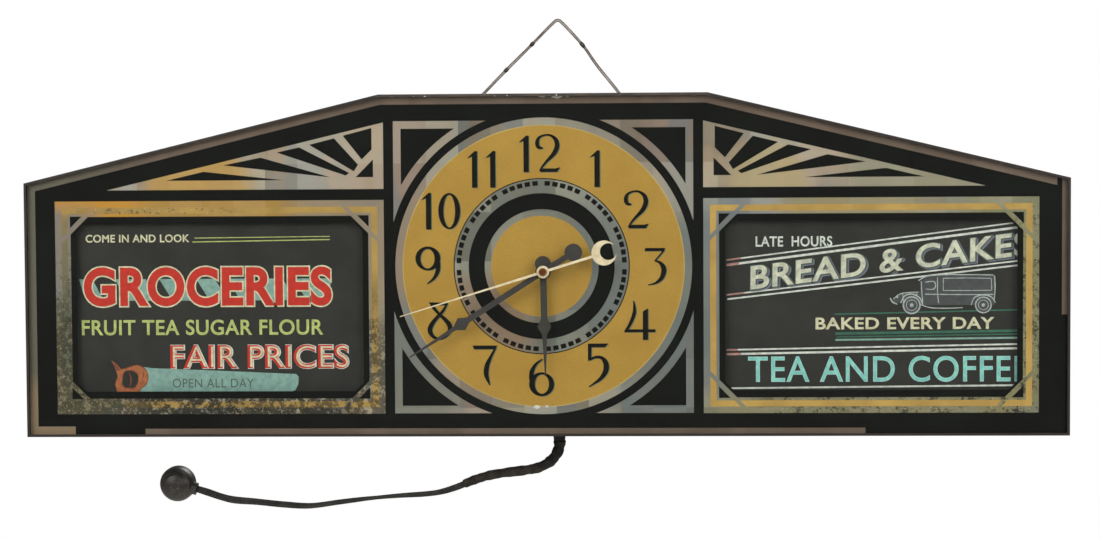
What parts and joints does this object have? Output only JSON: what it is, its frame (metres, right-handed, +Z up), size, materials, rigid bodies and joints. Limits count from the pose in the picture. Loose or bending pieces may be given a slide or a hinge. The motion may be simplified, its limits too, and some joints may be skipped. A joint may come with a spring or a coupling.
{
  "type": "lighted advertising wall clock",
  "caption": "Wall-hung lighted sign: glass front with a round clock between two changeable advertising panels, wire hanger and power cord.",
  "frame": {"origin": "the point at the top of the wire where it hangs on its nail", "axes": "+Z up, +X to the right seen from the front, +Y from the front towards the wall"},
  "size_m": [1, 0.1171, 0.4847],
  "materials": {
    "case_paint": "aged dark brown baked paint",
    "cover_steel": "thin grey-brown paint on steel",
    "frame_metal": "worn black paint over rolled metal",
    "front_glass": "polished glass, painted and silvered on its back",
    "gasket_felt": "pressed felt",
    "panel_paint": "hand painted glass slide",
    "brass": "turned and stamped brass",
    "steel": "bright drawn steel",
    "zinc_steel": "dull zinc plate",
    "white_paint": "matt white reflector paint",
    "bakelite": "moulded phenolic",
    "bulb_glass": "frosted glass",
    "wire_braid": "braided cotton",
    "cord_rubber": "old matt rubber",
    "bumper_rubber": "moulded rubber",
    "fibre": "vulcanised fibre",
    "stator_iron": "stacked iron laminations",
    "coil_tape": "varnished cloth tape",
    "copper_can": "plated copper can",
    "hand_paint": "aged black lacquer",
    "cream_lacquer": "cream lacquer over brass"
  },
  "bodies": {
    "root": {"case_shell": "case_paint", "back_cover": "cover_steel", "back_cover_screws": "zinc_steel", "wall_bumpers": "bumper_rubber", "hanger_eyes": "zinc_steel", "hanger_wire": "steel", "front_frame": "frame_metal", "top_rail": "frame_metal", "front_glass": "front_glass", "glass_gasket": "gasket_felt", "panel_channels_left": "zinc_steel", "panel_channels_right": "zinc_steel", "light_baffle_left": "white_paint", "light_baffle_right": "white_paint", "lamp_bracket_left": "zinc_steel", "lamp_bracket_right": "zinc_steel", "lamp_sockets": "bakelite", "bulb_bases": "brass", "bulbs": "bulb_glass", "terminal_block": "bakelite", "terminal_screws": "brass", "internal_wiring": "wire_braid", "cord_bushing": "cord_rubber", "power_cord": "cord_rubber", "plug_body": "bakelite", "plug_face": "fibre", "plug_blades": "brass", "movement_bracket": "zinc_steel", "bracket_rivets": "steel", "movement_bushing": "brass", "movement_nut": "brass", "front_plate": "brass", "back_plate": "brass", "plate_pillars": "brass", "stator_core": "stator_iron", "field_coil": "coil_tape", "rotor_can": "copper_can"},
    "left_panel": {"ad_panel_left": "panel_paint", "panel_pull_left": "brass"},
    "right_panel": {"ad_panel_right": "panel_paint", "panel_pull_right": "brass"},
    "seconds": {"second_arbor": "steel", "second_hand": "cream_lacquer", "hub_cap": "copper_can"},
    "rotor_output": {"rotor_pinion": "brass"},
    "intermediate": {"intermediate_wheel": "brass"},
    "centre": {"centre_wheel": "brass"},
    "minutes": {"minute_arbor": "brass", "minute_hand": "hand_paint"},
    "motion": {"motion_wheel": "brass", "set_knob": "bakelite"},
    "hours": {"hour_wheel": "brass", "hour_hand": "hand_paint"}
  },
  "joints": [
    {"name": "left_panel_slide", "type": "slide", "parent": "root", "child": "left_panel", "axis": [-1, 0, 0], "range_m": [0, 0.3]},
    {"name": "right_panel_slide", "type": "slide", "parent": "root", "child": "right_panel", "axis": [1, 0, 0], "range_m": [0, 0.3]},
    {"name": "second_spin", "type": "hinge", "parent": "root", "child": "seconds", "pos_m": [-0.012, -0.09, -0.245], "axis": [0, 1, 0], "continuous": true},
    {"name": "rotor_spin", "type": "hinge", "parent": "root", "child": "rotor_output", "pos_m": [0.00593, -0.09, -0.23465], "axis": [0, 1, 0], "continuous": true},
    {"name": "intermediate_spin", "type": "hinge", "parent": "root", "child": "intermediate", "pos_m": [-0.03149, -0.09, -0.23375], "axis": [0, 1, 0], "continuous": true},
    {"name": "centre_spin", "type": "hinge", "parent": "root", "child": "centre", "pos_m": [-0.012, -0.09, -0.245], "axis": [0, 1, 0], "continuous": true},
    {"name": "minute_spin", "type": "hinge", "parent": "root", "child": "minutes", "pos_m": [-0.012, -0.09, -0.245], "axis": [0, 1, 0], "continuous": true},
    {"name": "motion_spin", "type": "hinge", "parent": "root", "child": "motion", "pos_m": [-0.012, -0.09, -0.269], "axis": [0, 1, 0], "continuous": true},
    {"name": "hour_spin", "type": "hinge", "parent": "root", "child": "hours", "pos_m": [-0.012, -0.09, -0.245], "axis": [0, 1, 0], "continuous": true}
  ],
  "couplings": [
    {"joint": "rotor_spin", "follows": "second_spin", "ratio": -3.6},
    {"joint": "intermediate_spin", "follows": "second_spin", "ratio": -0.13333},
    {"joint": "centre_spin", "follows": "second_spin", "ratio": 0.016667},
    {"joint": "motion_spin", "follows": "minute_spin", "ratio": -0.33333},
    {"joint": "hour_spin", "follows": "minute_spin", "ratio": 0.083333}
  ]
}
